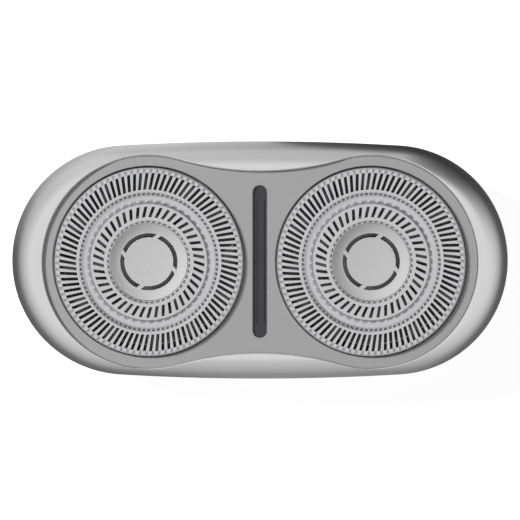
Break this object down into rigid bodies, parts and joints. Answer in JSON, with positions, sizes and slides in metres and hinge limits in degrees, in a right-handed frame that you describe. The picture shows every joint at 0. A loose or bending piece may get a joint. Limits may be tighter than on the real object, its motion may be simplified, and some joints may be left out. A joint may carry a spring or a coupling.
{
  "type": "twin rotary shaver head",
  "caption": "Oblong shaver head with floating slotted rotary combs, spinning cutters and a latched retaining frame in a silver housing.",
  "frame": {"origin": "middle of the head at the plane of its bottom rim", "axes": "+X along the head, +Y across it, +Z out of the shaving face"},
  "size_m": [0.062, 0.0296, 0.015],
  "materials": {
    "silver_housing": "moulded plastic with a satin silver metallic coat",
    "matte_silver": "flat plate with a fine matte silver coat",
    "dark_plastic": "moulded charcoal plastic",
    "frame_plastic": "moulded dark grey plastic",
    "latch_plastic": "moulded light grey plastic",
    "comb_steel": "pressed, slotted and tumbled stainless steel",
    "cap_steel": "pressed stainless steel, satin",
    "cutter_steel": "stamped and ground steel",
    "spring_steel": "bare spring steel strip",
    "screw_steel": "zinc plated steel"
  },
  "bodies": {
    "housing": {"head_housing": "silver_housing", "face_plate": "matte_silver", "slot_insert": "dark_plastic", "retaining_frame": "frame_plastic", "latch_screw": "screw_steel", "float_spring_left_1": "spring_steel", "float_spring_left_2": "spring_steel", "float_spring_left_3": "spring_steel", "float_spring_right_1": "spring_steel", "float_spring_right_2": "spring_steel", "float_spring_right_3": "spring_steel"},
    "latch": {"frame_latch": "latch_plastic"},
    "left_comb": {"comb_left": "comb_steel", "comb_cap_left": "cap_steel"},
    "left_cutter": {"cutter_blades_left": "cutter_steel", "cutter_hub_left": "dark_plastic"},
    "right_comb": {"comb_right": "comb_steel", "comb_cap_right": "cap_steel"},
    "right_cutter": {"cutter_blades_right": "cutter_steel", "cutter_hub_right": "dark_plastic"}
  },
  "joints": [
    {"name": "latch_turn", "type": "hinge", "parent": "housing", "child": "latch", "pos_m": [0, 0, 0.0066], "axis": [0, 0, 1], "range_deg": [0, 90]},
    {"name": "left_comb_float", "type": "slide", "parent": "housing", "child": "left_comb", "axis": [0, 0, 1], "range_m": [-0.0014, 0], "stiffness_N_per_m": 300, "springref_m": 0.001, "deforming": ["float_spring_left_1", "float_spring_left_2", "float_spring_left_3"]},
    {"name": "left_cutter_spin", "type": "hinge", "parent": "left_comb", "child": "left_cutter", "pos_m": [-0.0139, 0, 0.0115], "axis": [0, 0, 1], "continuous": true},
    {"name": "right_comb_float", "type": "slide", "parent": "housing", "child": "right_comb", "axis": [0, 0, 1], "range_m": [-0.0014, 0], "stiffness_N_per_m": 300, "springref_m": 0.001, "deforming": ["float_spring_right_1", "float_spring_right_2", "float_spring_right_3"]},
    {"name": "right_cutter_spin", "type": "hinge", "parent": "right_comb", "child": "right_cutter", "pos_m": [0.0139, 0, 0.0115], "axis": [0, 0, 1], "continuous": true}
  ]
}
